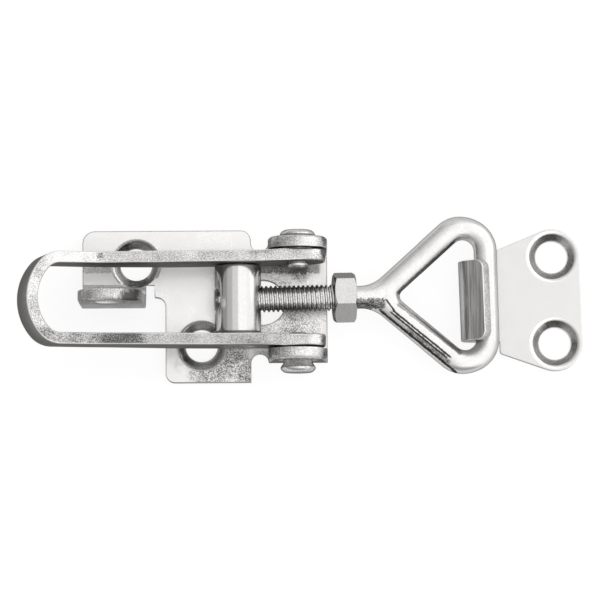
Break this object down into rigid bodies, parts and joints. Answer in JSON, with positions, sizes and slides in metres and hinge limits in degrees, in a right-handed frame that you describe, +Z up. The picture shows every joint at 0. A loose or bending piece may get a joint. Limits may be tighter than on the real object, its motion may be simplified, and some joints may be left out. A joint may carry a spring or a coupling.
{
  "type": "over centre toggle latch",
  "caption": "Adjustable over centre toggle latch: folded base with padlock eye, bent lever with finger loop, threaded triangular eyebolt with lock nut, and hooked keeper plate.",
  "frame": {"origin": "on the mounting plane, on the base's centre line, below the axis that the lever turns about", "axes": "+X from the lever's finger loop to the keeper, +Y across, +Z up from the mounting plane"},
  "size_m": [0.1224, 0.0354, 0.0285],
  "materials": {
    "base_sheet": "vibratory finished stainless sheet with sheared edges",
    "lever_strip": "vibratory finished stainless strip with sheared edges",
    "rivets": "cold headed stainless",
    "barrel": "turned stainless",
    "eyebolt": "drawn and welded stainless bar with a rolled thread",
    "nut": "machined stainless",
    "keeper_sheet": "vibratory finished stainless sheet with sheared edges"
  },
  "bodies": {
    "base": {"base_plate": "base_sheet"},
    "lever_arm": {"lever": "lever_strip", "pivot_rivet_left": "rivets", "pivot_rivet_right": "rivets"},
    "barrel_pin": {"barrel": "barrel"},
    "eyebolt_rod": {"eyebolt": "eyebolt"},
    "nut": {"lock_nut": "nut"},
    "keeper_plate": {"keeper": "keeper_sheet"}
  },
  "joints": [
    {"name": "lever_pivot", "type": "hinge", "parent": "base", "child": "lever_arm", "pos_m": [0, 0, 0.0123], "axis": [0, 1, 0], "range_deg": [0, 150]},
    {"name": "barrel_pivot", "type": "hinge", "parent": "lever_arm", "child": "barrel_pin", "pos_m": [-0.0129, 0, 0.01], "axis": [0, 1, 0], "range_deg": [-150, 0]},
    {"name": "eyebolt_adjust", "type": "slide", "parent": "barrel_pin", "child": "eyebolt_rod", "axis": [0.996, 0.0217, -0.0869], "range_m": [-0.0075, 0.004]},
    {"name": "locknut_run", "type": "slide", "parent": "eyebolt_rod", "child": "nut", "axis": [0.996, 0.0217, -0.0869], "range_m": [-0.0075, 0]},
    {"name": "keeper_hook", "type": "hinge", "parent": "eyebolt_rod", "child": "keeper_plate", "pos_m": [0.04098, 0.00118, 0.0053], "axis": [-0.0218, 0.9998, 0], "range_deg": [-90, 90]}
  ],
  "couplings": [
    {"joint": "barrel_pivot", "follows": "lever_pivot", "ratio": -1}
  ]
}
